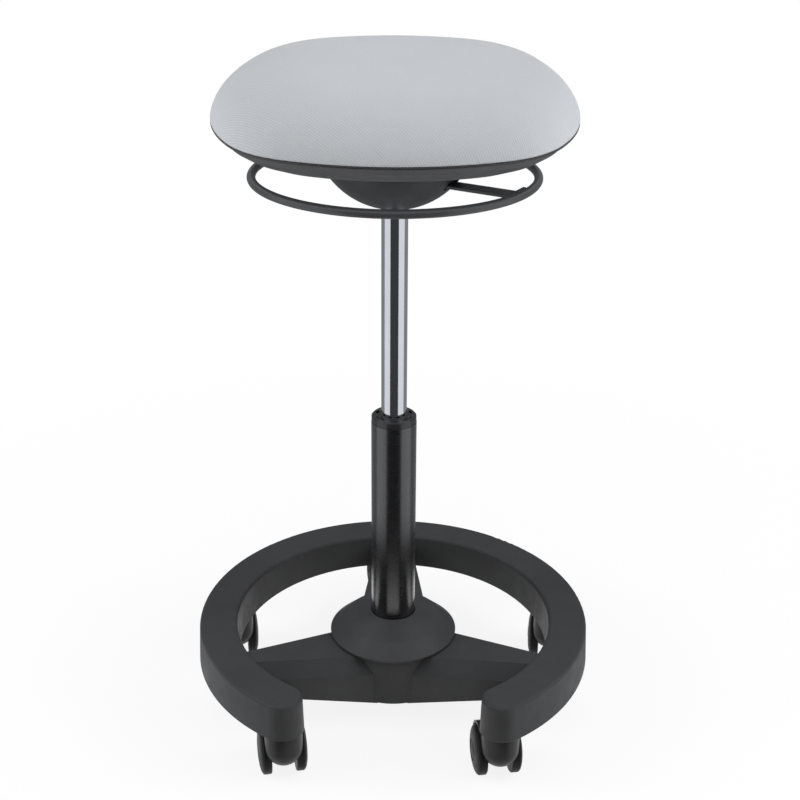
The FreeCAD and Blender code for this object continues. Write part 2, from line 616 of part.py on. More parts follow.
def seat_section(scale, height, slope=1.0):
    """Wire of the outline at a height over the seat's rim plane, sloped with it by the given share."""
    wire = Part.Wire([Part.Arc(*tri).toShape() for tri in seat_outline(scale)])
    wire.translate(Vector(0, 0, height))
    tip = Placement(Vector(0, 0, SEAT_RIM_Z), Rotation(Vector(1, 0, 0), SEAT_SLOPE * slope))
    wire.Placement = tip * wire.Placement
    return wire


def crown_height(scale):
    """Height of the cushion's top over the rim plane at a share of the way out to the rim."""
    return CUSHION_CROWN * (1.0 - scale ** 3.87) ** (1.0 / 1.62)


CROWN_STATIONS = (0.985, 0.955, 0.91, 0.85, 0.75, 0.62, 0.45, 0.25)


def seat_cushion():
    wires = [seat_section(0.992, -CUSHION_TUCK), seat_section(1.0, 3.0)]
    wires += [seat_section(s, crown_height(s)) for s in CROWN_STATIONS]
    dome = Part.makeLoft(wires, True, True)
    board_top = PLATE_BOTTOM + PLATE_THICKNESS + BOARD_THICKNESS
    pocket = Part.Face(board_wire(0.0)).extrude(Vector(0, 0, board_top - SEAT_RIM_Z + 60.0))
    pocket.translate(Vector(0, 0, SEAT_RIM_Z - 60.0))
    return dome.cut(pocket)


def board_wire(z):
    wire = Part.Wire([Part.Arc(*tri).toShape() for tri in seat_outline(BOARD_SCALE)])
    wire.translate(Vector(0, 0, z))
    return wire


def seat_board():
    z0 = PLATE_BOTTOM + PLATE_THICKNESS
    board = Part.Face(board_wire(z0)).extrude(Vector(0, 0, BOARD_THICKNESS))
    return board


# Share of the outline, share of the depth, and share of the seat's slope, from the rim inwards
SHELL_STATIONS = ((0.985, 0.0, 1.0), (0.94, 0.27, 1.0), (0.87, 0.52, 0.9))
SHELL_STATIONS += ((0.773, 0.75, 0.7), (0.65, 0.92, 0.35), (0.52, 1.0, 0.0))
# Places of the posts under the board
POSTS = ((-128.0, -35.0), (128.0, -35.0), (-128.0, 65.0), (128.0, 65.0), (0.0, -112.0), (0.0, 135.0))


def shell_surface(shrink, lift):
    wires = []
    for scale, share, slope in SHELL_STATIONS:
        depth = -CUSHION_TUCK - share * (SHELL_DEPTH - CUSHION_TUCK) + lift
        wires.append(seat_section(scale - shrink, depth, slope))
    return wires


def seat_shell():
    outside = Part.makeLoft(shell_surface(0.0, 0.0), True, True)
    inside = Part.makeLoft(shell_surface(SHELL_WALL / SEAT_FRONT, SHELL_WALL), True, True)
    shell = outside.cut(inside)
    low = -CUSHION_TUCK - SHELL_WALL
    rim = Part.makeLoft([seat_section(0.975, low), seat_section(0.98, -CUSHION_TUCK)], True, True)
    hole = Part.makeLoft([seat_section(0.87, low - 1.0), seat_section(0.87, 1.0)], True, True)
    shell = shell.fuse(rim.cut(hole))
    posts = []
    board_bottom = PLATE_BOTTOM + PLATE_THICKNESS
    for x, y in POSTS:
        posts.append(rod(POST_RADIUS, SEAT_RIM_Z - SHELL_DEPTH, board_bottom, x, y))
    below = Part.makeBox(500, 500, 100, Vector(-250, -250, SEAT_RIM_Z - SHELL_DEPTH - 100))
    inner_zone = inside.fuse(Part.Face(board_wire(SEAT_RIM_Z - 10.0)).extrude(Vector(0, 0, 40)))
    posts = [p.common(inner_zone).cut(below) for p in posts]
    shell = shell.fuse(posts)
    return shell.cut(Part.makeSphere(BOWL_RADIUS + SHELL_GAP, Vector(0, 0, TILT_Z))).removeSplitter()


def seat_plate():
    """Pressed steel plate with rounded corners and two eyes for the gimbal."""
    corner = Vector(-PLATE_HALF_X, -PLATE_HALF_Y, PLATE_BOTTOM)
    plate = Part.makeBox(2.0 * PLATE_HALF_X, 2.0 * PLATE_HALF_Y, PLATE_THICKNESS, corner)
    plate = plate.makeFillet(PLATE_CORNER, [e for e in plate.Edges if e.BoundBox.ZLength > PLATE_THICKNESS - 0.01])
    plate = plate.cut(rod(CROSS_INNER, PLATE_BOTTOM - 1.0, PLATE_BOTTOM + PLATE_THICKNESS + 1.0))
    depth = PLATE_THICKNESS + 5.0
    window = Part.makeBox(WINDOW_LENGTH, WINDOW_WIDTH, depth, Vector(WINDOW_START, -WINDOW_WIDTH / 2.0, PLATE_BOTTOM - 2.0))
    window = window.makeFillet(WINDOW_CORNER, [e for e in window.Edges if e.BoundBox.ZLength > depth - 1.0])
    plate = plate.cut([turn(window, 45.0 + 90.0 * k) for k in range(4)])
    for a in (0.0, 180.0):
        corner = Vector(YOKE_INNER, -EYE_RADIUS, TILT_Z)
        lug = Part.makeBox(YOKE_OUTER - YOKE_INNER, 2.0 * EYE_RADIUS, PLATE_BOTTOM - TILT_Z, corner)
        lug = lug.fuse(eye(YOKE_INNER, YOKE_OUTER)).cut(eye_bore(YOKE_INNER, YOKE_OUTER))
        plate = plate.fuse(turn(lug, a))
    return plate.removeSplitter()


def tilt_buffer():
    """Rubber ring under the plate that the bowl's rim meets when the seat leans."""
    outer = BUFFER_INNER + BUFFER_WALL
    low = PLATE_BOTTOM - BUFFER_HEIGHT
    profile = [(BUFFER_INNER, PLATE_BOTTOM), (outer, PLATE_BOTTOM), (outer, low + 2.0 * BUFFER_BEVEL)]
    profile += [(outer - BUFFER_BEVEL, low), (BUFFER_INNER + BUFFER_BEVEL, low)]
    profile += [(BUFFER_INNER, low + 2.0 * BUFFER_BEVEL)]
    return turned(profile)


def caster_hood():
    """Hood about the stem axis at the local origin; the wheels trail towards +Y."""
    middle = HOOD_BOTTOM + HOOD_RADIUS
    pod = rod(HOOD_RADIUS, middle, HOOD_TOP).fuse(Part.makeSphere(HOOD_RADIUS, Vector(0, 0, middle)))
    cover = across(WHEEL_RADIUS + WELL_GAP + HOOD_WALL, -HOOD_RADIUS, HOOD_RADIUS, TRAIL, WHEEL_RADIUS)
    keep = Part.makeBox(2.0 * HOOD_RADIUS, 60.0, 60.0, Vector(-HOOD_RADIUS, 0.0, WHEEL_RADIUS + FENDER_EDGE))
    boss = across(AXLE_BOSS, -WEB_HALF_WIDTH, WEB_HALF_WIDTH, TRAIL, WHEEL_RADIUS)
    arm = Part.makeBox(2.0 * WEB_HALF_WIDTH, TRAIL + AXLE_BOSS, HOOD_RADIUS, Vector(-WEB_HALF_WIDTH, 0.0, WHEEL_RADIUS))
    web = boss.fuse(arm)
    hood = pod.fuse([cover.common(keep), web])
    hood = hood.common(rod(60.0, 0.0, HOOD_TOP))
    for side in (-1.0, 1.0):
        x0 = WEB_HALF_WIDTH if side > 0 else -60.0
        hood = hood.cut(across(WHEEL_RADIUS + WELL_GAP, x0, x0 + 60.0 - WEB_HALF_WIDTH, TRAIL, WHEEL_RADIUS))
    hood = hood.cut(across(AXLE_RADIUS, -60.0, 60.0, TRAIL, WHEEL_RADIUS))
    hood = hood.cut(rod(STEM_RADIUS, HOOD_TOP - STEM_SEAT, HOOD_TOP + 1.0))
    return hood.removeSplitter()


def caster_stem():
    top = RING_TOP - RING_SKIN - STEM_TOP_GAP
    profile = [(0, HOOD_TOP - STEM_SEAT), (STEM_RADIUS, HOOD_TOP - STEM_SEAT), (STEM_RADIUS, HOOD_TOP), (COLLAR_RADIUS, HOOD_TOP)]
    profile += [(COLLAR_RADIUS, RING_BOTTOM), (STEM_RADIUS, RING_BOTTOM), (STEM_RADIUS, top - 8.0), (STEM_RADIUS - 1.0, top - 7.0)]
    profile += [(STEM_RADIUS - 1.0, top - 5.0), (STEM_RADIUS, top - 4.0), (STEM_RADIUS - 1.5, top), (0, top)]
    return turned(profile)


def caster_axle():
    half = WHEEL_OUTER_FACE - WHEEL_STEP - 1.0
    return across(AXLE_RADIUS, -half, half, TRAIL, WHEEL_RADIUS)


# Share of the wheel's radius in from the tread, and share of the bulge reached there
WHEEL_FACE = ((0.05, 0.35), (0.15, 0.62), (0.32, 0.86))


def caster_wheel(side):
    """One wheel with a flat tread and a bulging outer face, on the given side."""
    inner = WHEEL_INNER_FACE
    bore = AXLE_RADIUS + RUN_FIT
    tread = inner + TREAD_WIDTH
    bulge = WHEEL_OUTER_FACE - tread
    profile = [(bore, inner), (WHEEL_RADIUS - 1.0, inner), (WHEEL_RADIUS, inner + 1.0), (WHEEL_RADIUS, tread)]
    profile += [(WHEEL_RADIUS - share * WHEEL_RADIUS, tread + rise * bulge) for share, rise in WHEEL_FACE]
    profile += [(CAP_RADIUS, WHEEL_OUTER_FACE), (CAP_RADIUS - 0.5, WHEEL_OUTER_FACE - WHEEL_STEP)]
    profile += [(bore, WHEEL_OUTER_FACE - WHEEL_STEP)]
    wheel = turned(profile)
    wheel.rotate(Vector(0, 0, 0), Vector(0, 1, 0), 90.0 * side)
    wheel.translate(Vector(0, TRAIL, WHEEL_RADIUS))
    return wheel


def place_caster(shape, number):
    angle = CASTER_ANGLES[number - 1]
    out = turn(shape, CASTER_YAWS[number])
    out.translate(polar(CASTER_CIRCLE, angle))
    return out


save("base_frame", base_frame())
save("hub_cover", hub_cover())
save("column_tube", column_tube())
save("guide_sleeve", guide_sleeve())
save("race_lower", race(FLOOR_TOP, ROD_STUB_RADIUS + PASS_GAP))
save("race_upper", race(CAGE_TOP, ROD_STUB_RADIUS))
save("roller_cage", roller_cage())
save("piston_rod", piston_rod())
save("rod_clip", rod_clip())
save("bump_stop", bump_stop())
save("gas_cylinder", gas_cylinder())
save("cylinder_gland", cylinder_gland())
save("valve_button", valve_button())
save("tilt_head", tilt_head())
save("bowl_cover", bowl_cover())
save("lever_pin", lever_pin())
save("release_ring", release_ring())
save("lever_bar", lever_bar())
save("gimbal_cross", gimbal_cross())
for name, angle in (("bush_right", 0.0), ("bush_rear", 90.0), ("bush_left", 180.0), ("bush_front", 270.0)):
    save(name, trunnion_bush(angle))
save("seat_plate", seat_plate())
save("tilt_buffer", tilt_buffer())
save("seat_board", seat_board())
save("seat_shell", seat_shell())
save("seat_cushion", seat_cushion())
for number in range(1, 6):
    c = polar(CASTER_CIRCLE, CASTER_ANGLES[number - 1])
    socket = pipe(SOCKET_RADIUS, STEM_RADIUS + RUN_FIT, RING_BOTTOM, RING_TOP - RING_SKIN)
    socket.translate(c)
    save("caster_socket_%d" % number, socket)
    save("caster_hood_%d" % number, place_caster(caster_hood(), number))
    save("caster_stem_%d" % number, place_caster(caster_stem(), number))
    save("caster_axle_%d" % number, place_caster(caster_axle(), number))
    save("caster_wheel_left_%d" % number, place_caster(caster_wheel(-1.0), number))
    save("caster_wheel_right_%d" % number, place_caster(caster_wheel(1.0), number))
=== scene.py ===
import json
import math

import bpy
import numpy as np
from mathutils import Matrix, Vector


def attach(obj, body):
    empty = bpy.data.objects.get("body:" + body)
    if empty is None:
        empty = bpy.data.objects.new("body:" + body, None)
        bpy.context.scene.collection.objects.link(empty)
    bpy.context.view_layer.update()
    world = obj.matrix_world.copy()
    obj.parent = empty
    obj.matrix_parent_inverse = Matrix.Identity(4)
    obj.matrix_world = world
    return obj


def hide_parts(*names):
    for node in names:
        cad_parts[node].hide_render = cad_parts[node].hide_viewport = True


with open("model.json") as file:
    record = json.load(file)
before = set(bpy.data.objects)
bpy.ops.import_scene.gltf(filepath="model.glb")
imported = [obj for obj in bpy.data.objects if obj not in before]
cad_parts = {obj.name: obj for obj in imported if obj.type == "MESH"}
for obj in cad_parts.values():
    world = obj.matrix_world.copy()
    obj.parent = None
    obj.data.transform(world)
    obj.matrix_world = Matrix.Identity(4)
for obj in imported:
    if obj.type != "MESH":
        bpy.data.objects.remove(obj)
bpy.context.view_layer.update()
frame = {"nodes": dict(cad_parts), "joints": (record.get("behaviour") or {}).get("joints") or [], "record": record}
nodes = frame["nodes"]

# Wobble stool in metres, in the same frame as the solids. The open front of the base is towards -Y.

# Seat outline, as in the solids: distances of its curves from the seat's middle, and their radii
SEAT_FRONT = 0.163
SEAT_REAR = 0.192
SEAT_HALF_WIDTH = 0.188
SEAT_WIDEST_Y = 0.025
FRONT_CURVE = 0.290
REAR_CURVE = 0.330
SIDE_CURVE = 0.260
FRONT_CORNER = 0.105
REAR_CORNER = 0.095
# Rough places of the two corner curves
FRONT_NEAR = Vector((0.08, -0.06))
REAR_NEAR = Vector((0.08, 0.08))

# Rim plane, and the crown of the cushion over it: its height and the powers that shape it
SEAT_RIM_Z = 0.689
SEAT_SLOPE = math.radians(3.2)
CROWN = 0.062
CROWN_OUT = 3.87
CROWN_IN = 1.62
# How far the fabric is tucked below the rim plane
TUCK = 0.0018
# The cushion's underside lies on the board, and comes down to the rim between these shares of the way out
BOARD_TOP = max(corner[2] for corner in nodes["seat_board"].bound_box)
LIFT_SHARES = (0.82, 0.94)
# Share of the way out where the underside ends
UNDERSIDE_SHARE = 0.992

# Cushion mesh, and the cloth step that fills it from a slightly smaller skin up to a small cap
GRID = 80
RING_CROWDING = 1.55
START_SCALE = 0.9955
CLOTH_FRAMES = 20
CLOTH_PRESSURE = 4.0
CLOTH_CAP = 0.0016

# Twill: width of a thread, threads in its repeat, and how many of them go over
THREAD = 0.0009
TWILL_REPEAT = 4.0
TWILL_OVER = 2.0
# Height of the cross threads, as a share of the others'; since threads are darkened the lower they lie, it also
# sets their painted shade
WEFT_HEIGHT = 0.55
FABRIC_COLOUR = (0.635, 0.66, 0.695)
# Distances from the middle of the seat to its rim for which the laid-out cloth is measured
CLOTH_WIDTHS = (0.15, 0.17, 0.19, 0.21)

# Part of a noise texture's range that is in use
NOISE_SPAN = (0.3, 0.7)
# Scales of the marks that turning leaves round a rod: coarse along the round, fine along its length
TURNED_MARKS = (60.0, 60.0, 1400.0)
# Height over which the colours of two plies repeat
PLY = 0.0028

# Black bead that stands in for the shadow in the gap where the fabric is tucked behind the rim, a painted shadow
# line: share of the outline, height, half width and half height
SHADOW_LINE_SHARE = 0.9865
SHADOW_LINE_HEIGHT = -0.0026
SHADOW_LINE_HALF_SIZE = (0.0013, 0.0011)

# Domed plug over the end of each axle: radius, and distance from the middle of the caster
PLUG = ((0.0112, 0.0247), (0.0112, 0.0256), (0.0106, 0.0260), (0.0085, 0.0265), (0.0055, 0.0269),
        (0.0022, 0.0271))

# Studio: light from all round, the floor's share of shadow and where it fades out, in metres
AMBIENT = 0.36
FLOOR_HALF = 6.0
FLOOR_SHADOW = 0.13
SHADOW_REACH = (0.45, 1.1)
# Walls seen in reflections alone: radius and height of both edges, and azimuths and colour of each
FLAG_EDGES = ((0.275, 0.003), (0.52, 0.80))
FLAG_STEPS = 24
DARK_FLAG = (0.05, 0.05, 0.055)
PALE_FLAG = (0.84, 0.85, 0.87)
GREY_FLAG = (0.25, 0.255, 0.27)
FLAGS = (("flag_front", -36.0, 36.0, DARK_FLAG), ("flag_left", -93.0, -36.0, PALE_FLAG),
         ("flag_right", 36.0, 93.0, PALE_FLAG), ("flag_rear", 93.0, 267.0, GREY_FLAG))
# Lamps: azimuth and elevation in degrees, distance, size and power
LAMP_TARGET = Vector((0.0, 0.0, 0.4))
LAMPS = (("lamp_top", 0.0, 80.0, 2.6, 2.0, 11.0), ("lamp_left", -78.0, 28.0, 2.6, 1.6, 40.0),
         ("lamp_right", 76.0, 30.0, 2.6, 1.6, 48.0), ("lamp_rear", 180.0, 35.0, 2.8, 1.8, 4.0))

# Camera fitted to the picture
LENS = 62.526
SENSOR = 36.0
CAMERA = Vector((0.006512, -1.388786, 0.989434))
PITCH = 0.41367
ROLL = 0.006


def meeting_point(c1, r1, c2, r2, near):
    """Point at distance r1 from c1 and r2 from c2, the one of the two that lies nearer to a rough place."""
    gap = c2 - c1
    d = gap.length
    along = (r1 * r1 - r2 * r2 + d * d) / (2.0 * d)
    away = math.sqrt(r1 * r1 - along * along)
    unit = gap / d
    across = Vector((-unit.y, unit.x))
    choices = [c1 + unit * along + across * s for s in (away, -away)]
    return min(choices, key=lambda p: (p - near).length)


def outline_circles():
    """Circles that the right half of the seat outline is made of, as centre, radius and end angles."""
    front = Vector((0.0, FRONT_CURVE - SEAT_FRONT))
    rear = Vector((0.0, SEAT_REAR - REAR_CURVE))
    side = Vector((SEAT_HALF_WIDTH - SIDE_CURVE, SEAT_WIDEST_Y))
    low = meeting_point(front, FRONT_CURVE - FRONT_CORNER, side, SIDE_CURVE - FRONT_CORNER, FRONT_NEAR)
    high = meeting_point(rear, REAR_CURVE - REAR_CORNER, side, SIDE_CURVE - REAR_CORNER, REAR_NEAR)
    turn_low = [(low - front), (low - side)]
    turn_high = [(high - side), (high - rear)]
    a = [math.atan2(v.y, v.x) for v in turn_low + turn_high]
    return [(front, FRONT_CURVE, -math.pi / 2.0, a[0]), (low, FRONT_CORNER, a[0], a[1]),
            (side, SIDE_CURVE, a[1], a[2]), (high, REAR_CORNER, a[2], a[3]),
            (rear, REAR_CURVE, a[3], math.pi / 2.0)]


def outline_points(per_arc=60):
    """Closed outline of the seat as an array of points, counted from the front and round by the right."""
    right = []
    for centre, radius, start, end in outline_circles():
        for k in range(per_arc):
            angle = start + (end - start) * k / per_arc
            right.append((centre.x + radius * math.cos(angle), centre.y + radius * math.sin(angle)))
    right.append((0.0, SEAT_REAR))
    left = [(-x, y) for x, y in right[-2:0:-1]]
    return np.array(right + left)


OUTLINE = outline_points()
OUTLINE_ANGLE = np.unwrap(np.arctan2(OUTLINE[:, 1], OUTLINE[:, 0]))
OUTLINE_REACH = np.hypot(OUTLINE[:, 0], OUTLINE[:, 1])


def reach(angle):
    """Distance of the outline from the seat's middle in a direction."""
    first = OUTLINE_ANGLE[0]
    wrapped = (np.asarray(angle) - first) % (2.0 * math.pi) + first
    angles = np.append(OUTLINE_ANGLE, first + 2.0 * math.pi)
    return np.interp(wrapped, angles, np.append(OUTLINE_REACH, OUTLINE_REACH[0]))


def crown(share):
    """Height of the cushion's top over the rim plane at a share of the way out to the rim."""
    return CROWN * np.power(np.clip(1.0 - np.power(share, CROWN_OUT), 0.0, 1.0), 1.0 / CROWN_IN)


def on_rim_plane(points):
    """Points over the seat's own sloped rim plane, placed in the frame."""
    c, s = math.cos(SEAT_SLOPE), math.sin(SEAT_SLOPE)
    p = np.asarray(points, dtype=float)
    y = p[:, 1] * c - p[:, 2] * s
    z = p[:, 1] * s + p[:, 2] * c + SEAT_RIM_Z
    return np.stack([p[:, 0], y, z], axis=1)


def new_object(name, vertices, faces, smooth=True):
    mesh = bpy.data.meshes.new(name)
    mesh.from_pydata([tuple(v) for v in vertices], [], faces)
    mesh.validate()
    if smooth:
        mesh.polygons.foreach_set("use_smooth", [True] * len(mesh.polygons))
    obj = bpy.data.objects.new(name, mesh)
    bpy.context.scene.collection.objects.link(obj)
    return obj


class Graph:
    """Builds the nodes of one material; sizes in its textures are in metres on the object."""

    def __init__(self, name):
        self.material = bpy.data.materials.new(name)
        self.material.use_nodes = True
        self.tree = self.material.node_tree
        self.shader = self.tree.nodes["Principled BSDF"]
        self.place = self.node("ShaderNodeTexCoord").outputs["Object"]

    def node(self, kind, **settings):
        made = self.tree.nodes.new(kind)
        for key, value in settings.items():
            setattr(made, key, value)
        return made

    def plug(self, value, socket):
        if isinstance(value, bpy.types.NodeSocket):
            self.tree.links.new(value, socket)
        else:
            socket.default_value = value

    def math(self, operation, a, b=0.0):
        made = self.node("ShaderNodeMath", operation=operation)
        for value, socket in zip((a, b), made.inputs):
            self.plug(value, socket)
        return made.outputs[0]

    def noise(self, scale, detail=2.0, roughness=0.5, where=None):
        made = self.node("ShaderNodeTexNoise")
        self.plug(where or self.place, made.inputs["Vector"])
        made.inputs["Scale"].default_value = scale
        made.inputs["Detail"].default_value = detail
        made.inputs["Roughness"].default_value = roughness
        return made.outputs["Fac"]

    def cells(self, scale):
        made = self.node("ShaderNodeTexVoronoi", feature="SMOOTH_F1")
        self.plug(self.place, made.inputs["Vector"])
        made.inputs["Scale"].default_value = scale
        return made.outputs["Distance"]

    def stretched(self, x, y, z):
        made = self.node("ShaderNodeMapping")
        self.plug(self.place, made.inputs["Vector"])
        made.inputs["Scale"].default_value = (x, y, z)
        return made.outputs["Vector"]

    def between(self, value, low, high, out_low, out_high):
        made = self.node("ShaderNodeMapRange")
        limits = {"From Min": low, "From Max": high, "To Min": out_low, "To Max": out_high}
        for key, number in limits.items():
            made.inputs[key].default_value = number
        self.plug(value, made.inputs["Value"])
        return made.outputs["Result"]

    def spread(self, value, low=0.0, high=1.0):
        """The used part of a noise, spread between two numbers."""
        return self.between(value, *NOISE_SPAN, low, high)

    def blend(self, amount, dark, light):
        made = self.node("ShaderNodeMix", data_type="RGBA")
        self.plug(amount, made.inputs[0])
        for colour, socket in ((dark, made.inputs[6]), (light, made.inputs[7])):
            self.plug(colour if isinstance(colour, bpy.types.NodeSocket) else (*colour, 1.0), socket)
        return made.outputs[2]

    def rounded(self, radius):
        """Normal that rounds the edges of the solids by a radius."""
        made = self.node("ShaderNodeBevel", samples=4)
        made.inputs["Radius"].default_value = radius
        return made.outputs["Normal"]

    def bump(self, height, distance, normal=None):
        made = self.node("ShaderNodeBump")
        made.inputs["Distance"].default_value = distance
        self.plug(height, made.inputs["Height"])
        if normal is not None:
            self.plug(normal, made.inputs["Normal"])
        return made.outputs["Normal"]

    def finish(self, **sockets):
        for key, value in sockets.items():
            self.plug(value, self.shader.inputs[key.replace("_", " ")])
        return self.material


def tint(colour, factor):
    return tuple(c * factor for c in colour)


def moulded(name, colour, roughness, grain=0.00006, grain_scale=1100.0, edge=0.0012, specular=0.3,
            variation=0.1):
    """Moulded plastic with a fine spark-eroded grain, faint flow clouding and softened edges."""
    g = Graph(name)
    clouds = g.noise(22.0, 3.0, 0.6)
    pores = g.noise(grain_scale, 2.0, 0.7)
    shade = g.blend(g.spread(clouds), tint(colour, 1.0 - variation), tint(colour, 1.0 + variation))
    shade = g.blend(g.between(pores, 0.35, 0.65, 0.0, 0.5), shade, tint(colour, 1.35))
    height = g.math("MULTIPLY", g.cells(grain_scale * 0.8), 0.3)
    height = g.math("ADD", g.math("MULTIPLY", pores, 0.7), height)
    normal = g.bump(height, grain, g.rounded(edge))
    rough = g.spread(g.noise(60.0, 2.0), roughness - 0.05, roughness + 0.05)
    return g.finish(Base_Color=shade, Roughness=rough, Specular_IOR_Level=specular, Normal=normal)


def painted(name, colour, roughness, specular=0.5, coat=0.0):
    """Powder coat: an even colour with a faint orange-peel surface."""
    g = Graph(name)
    clouds = g.noise(14.0, 2.0)
    shade = g.blend(g.spread(clouds), tint(colour, 0.92), tint(colour, 1.08))
    normal = g.bump(g.noise(420.0, 2.0, 0.5), 0.00002, g.rounded(0.0006))
    rough = g.spread(g.noise(90.0, 2.0), roughness - 0.03, roughness + 0.03)
    return g.finish(Base_Color=shade, Roughness=rough, Specular_IOR_Level=specular, Normal=normal,
                    Coat_Weight=coat, Coat_Roughness=roughness)


def metal(name, colour, roughness, depth=0.000006):
    """Bright metal with fine marks round it, as turning and polishing leave them."""
    g = Graph(name)
    fine = g.noise(1.0, 3.0, 0.6, g.stretched(*TURNED_MARKS))
    haze = g.noise(35.0, 3.0)
    shade = g.blend(g.spread(haze), tint(colour, 0.95), colour)
    rough = g.math("MULTIPLY", fine, roughness * 0.3)
    rough = g.math("ADD", g.spread(haze, roughness * 0.8, roughness * 1.2), rough)
    normal = g.bump(fine, depth, g.rounded(0.0004))
    return g.finish(Base_Color=shade, Roughness=rough, Metallic=1.0, Normal=normal)


def cast(name, colour, roughness):
    """Die-cast alloy with a slightly pitted skin."""
    g = Graph(name)
    pits = g.noise(700.0, 3.0, 0.65)
    haze = g.noise(30.0, 3.0)
    shade = g.blend(g.spread(haze), tint(colour, 0.85), tint(colour, 1.05))
    height = g.math("ADD", pits, g.math("MULTIPLY", g.cells(260.0), 0.5))
    normal = g.bump(height, 0.00008, g.rounded(0.0012))
    rough = g.spread(pits, roughness - 0.08, roughness + 0.08)
    return g.finish(Base_Color=shade, Roughness=rough, Metallic=0.9, Normal=normal)


def plywood(name):
    """Birch plywood: face grain along X, and plies that alternate with height at the cut edge."""
    g = Graph(name)
    split = g.node("ShaderNodeSeparateXYZ")
    g.plug(g.place, split.inputs[0])
    grain = g.noise(1.0, 4.0, 0.6, g.stretched(14.0, 260.0, 260.0))
    plies = g.math("SINE", g.math("MULTIPLY", split.outputs["Z"], 2.0 * math.pi / PLY))
    face = g.blend(g.between(grain, 0.35, 0.65, 0.0, 1.0), (0.42, 0.27, 0.14), (0.62, 0.45, 0.27))
    shade = g.blend(g.between(plies, 0.2, 0.4, 0.0, 0.35), face, (0.30, 0.18, 0.09))
    normal = g.bump(grain, 0.00012, g.rounded(0.0008))
    return g.finish(Base_Color=shade, Roughness=0.6, Normal=normal)


def fabric(name, colour):
    """Fine twill over foam: warp and weft threads crossing on the laid-out cloth, with painted shade where they
    lie low.
    """
    g = Graph(name)
    uv = g.node("ShaderNodeUVMap", uv_map="cloth").outputs["UV"]
    split = g.node("ShaderNodeSeparateXYZ")
    g.plug(uv, split.inputs[0])
    wander = g.between(g.noise(40.0, 2.0), 0.0, 1.0, -0.12, 0.12)
    u = g.math("ADD", g.math("DIVIDE", split.outputs["X"], THREAD), wander)
    v = g.math("ADD", g.math("DIVIDE", split.outputs["Y"], THREAD), wander)
    step = g.math("ADD", g.math("FLOOR", u), g.math("FLOOR", v))
    over = g.math("LESS_THAN", g.math("FLOORED_MODULO", step, TWILL_REPEAT), TWILL_OVER - 0.5)
    across_u = g.math("ABSOLUTE", g.math("SINE", g.math("MULTIPLY", u, math.pi)))
    across_v = g.math("ABSOLUTE", g.math("SINE", g.math("MULTIPLY", v, math.pi)))
    weft = g.math("MULTIPLY", g.math("SUBTRACT", 1.0, over), g.math("MULTIPLY", across_v, WEFT_HEIGHT))
    lift = g.math("ADD", g.math("MULTIPLY", over, across_u), weft)
    fuzz = g.noise(2600.0, 2.0, 0.7)
    clouds = g.noise(9.0, 2.0)
    base = g.blend(g.spread(clouds), tint(colour, 0.97), tint(colour, 1.03))
    # Painted shade: each thread darkens towards 0.62 of the colour where it lies low in the weave
    shade = g.blend(lift, tint(colour, 0.62), base)
    shade = g.blend(g.spread(fuzz, 0.0, 0.25), shade, tint(colour, 1.12))
    height = g.math("ADD", lift, g.math("MULTIPLY", fuzz, 0.35))
    normal = g.bump(height, 0.0003)
    return g.finish(Base_Color=shade, Roughness=0.88, Specular_IOR_Level=0.2, Sheen_Weight=0.15,
                    Sheen_Roughness=0.5, Normal=normal)


MATERIALS = {
    "moulded_base": moulded("base grain", (0.036, 0.0365, 0.038), 0.5, specular=0.22),
    "hub_cover": moulded("cover grain", (0.036, 0.0365, 0.038), 0.42, grain=0.00003),
    "black_tube": painted("gloss black coat", (0.003, 0.003, 0.0035), 0.27, specular=1.0, coat=0.8),
    "guide_plastic": moulded("guide plastic", (0.016, 0.016, 0.018), 0.24, grain=0.00001, edge=0.0011,
                              specular=0.6),
    "chrome_cylinder": metal("hard chrome", (0.74, 0.76, 0.80), 0.07, depth=0.000002),
    "bright_steel": metal("bright steel", (0.55, 0.56, 0.58), 0.28),
    "rubber": moulded("black rubber", (0.018, 0.018, 0.019), 0.75, grain=0.00005,
                       grain_scale=700.0),
    "bowl_plastic": moulded("bowl plastic", (0.030, 0.031, 0.034), 0.38, grain=0.00002, edge=0.0008),
    "lever_paint": painted("satin grey coat", (0.045, 0.047, 0.050), 0.32),
    "cast_head": cast("cast alloy", (0.42, 0.43, 0.45), 0.45),
    "bush_plastic": moulded("bearing plastic", (0.62, 0.60, 0.52), 0.45, edge=0.0005, specular=0.4,
                             variation=0.03),
    "seat_plate": painted("black plate coat", (0.018, 0.018, 0.019), 0.35),
    "seat_board": plywood("birch plies"),
    "seat_shell": moulded("shell grain", (0.074, 0.075, 0.077), 0.5, grain=0.00004),
    "caster_hood": moulded("hood plastic", (0.014, 0.0142, 0.015), 0.36, grain=0.00002, edge=0.0009,
                            specular=0.25),
    "caster_wheel": moulded("wheel nylon", (0.011, 0.0112, 0.012), 0.42, grain=0.00003, edge=0.0008,
                             specular=0.1),
    "seat_fabric": fabric("twill", FABRIC_COLOUR),
}


def disc_grid(cells):
    """Even grid of quads on the unit disc, by the concentric map, as shares out and angles."""
    share = np.zeros((cells + 1, cells + 1))
    angle = np.zeros((cells + 1, cells + 1))
    for i in range(cells + 1):
        for j in range(cells + 1):
            a, b = 2.0 * i / cells - 1.0, 2.0 * j / cells - 1.0
            if a == 0.0 and b == 0.0:
                continue
            if abs(a) > abs(b):
                share[i, j] = abs(a)
                angle[i, j] = (math.pi / 4.0) * (b / a) + (math.pi if a < 0.0 else 0.0)
            else:
                share[i, j] = abs(b)
                angle[i, j] = math.pi / 2.0 - (math.pi / 4.0) * (a / b) + (math.pi if b < 0.0 else 0.0)
    return share, angle


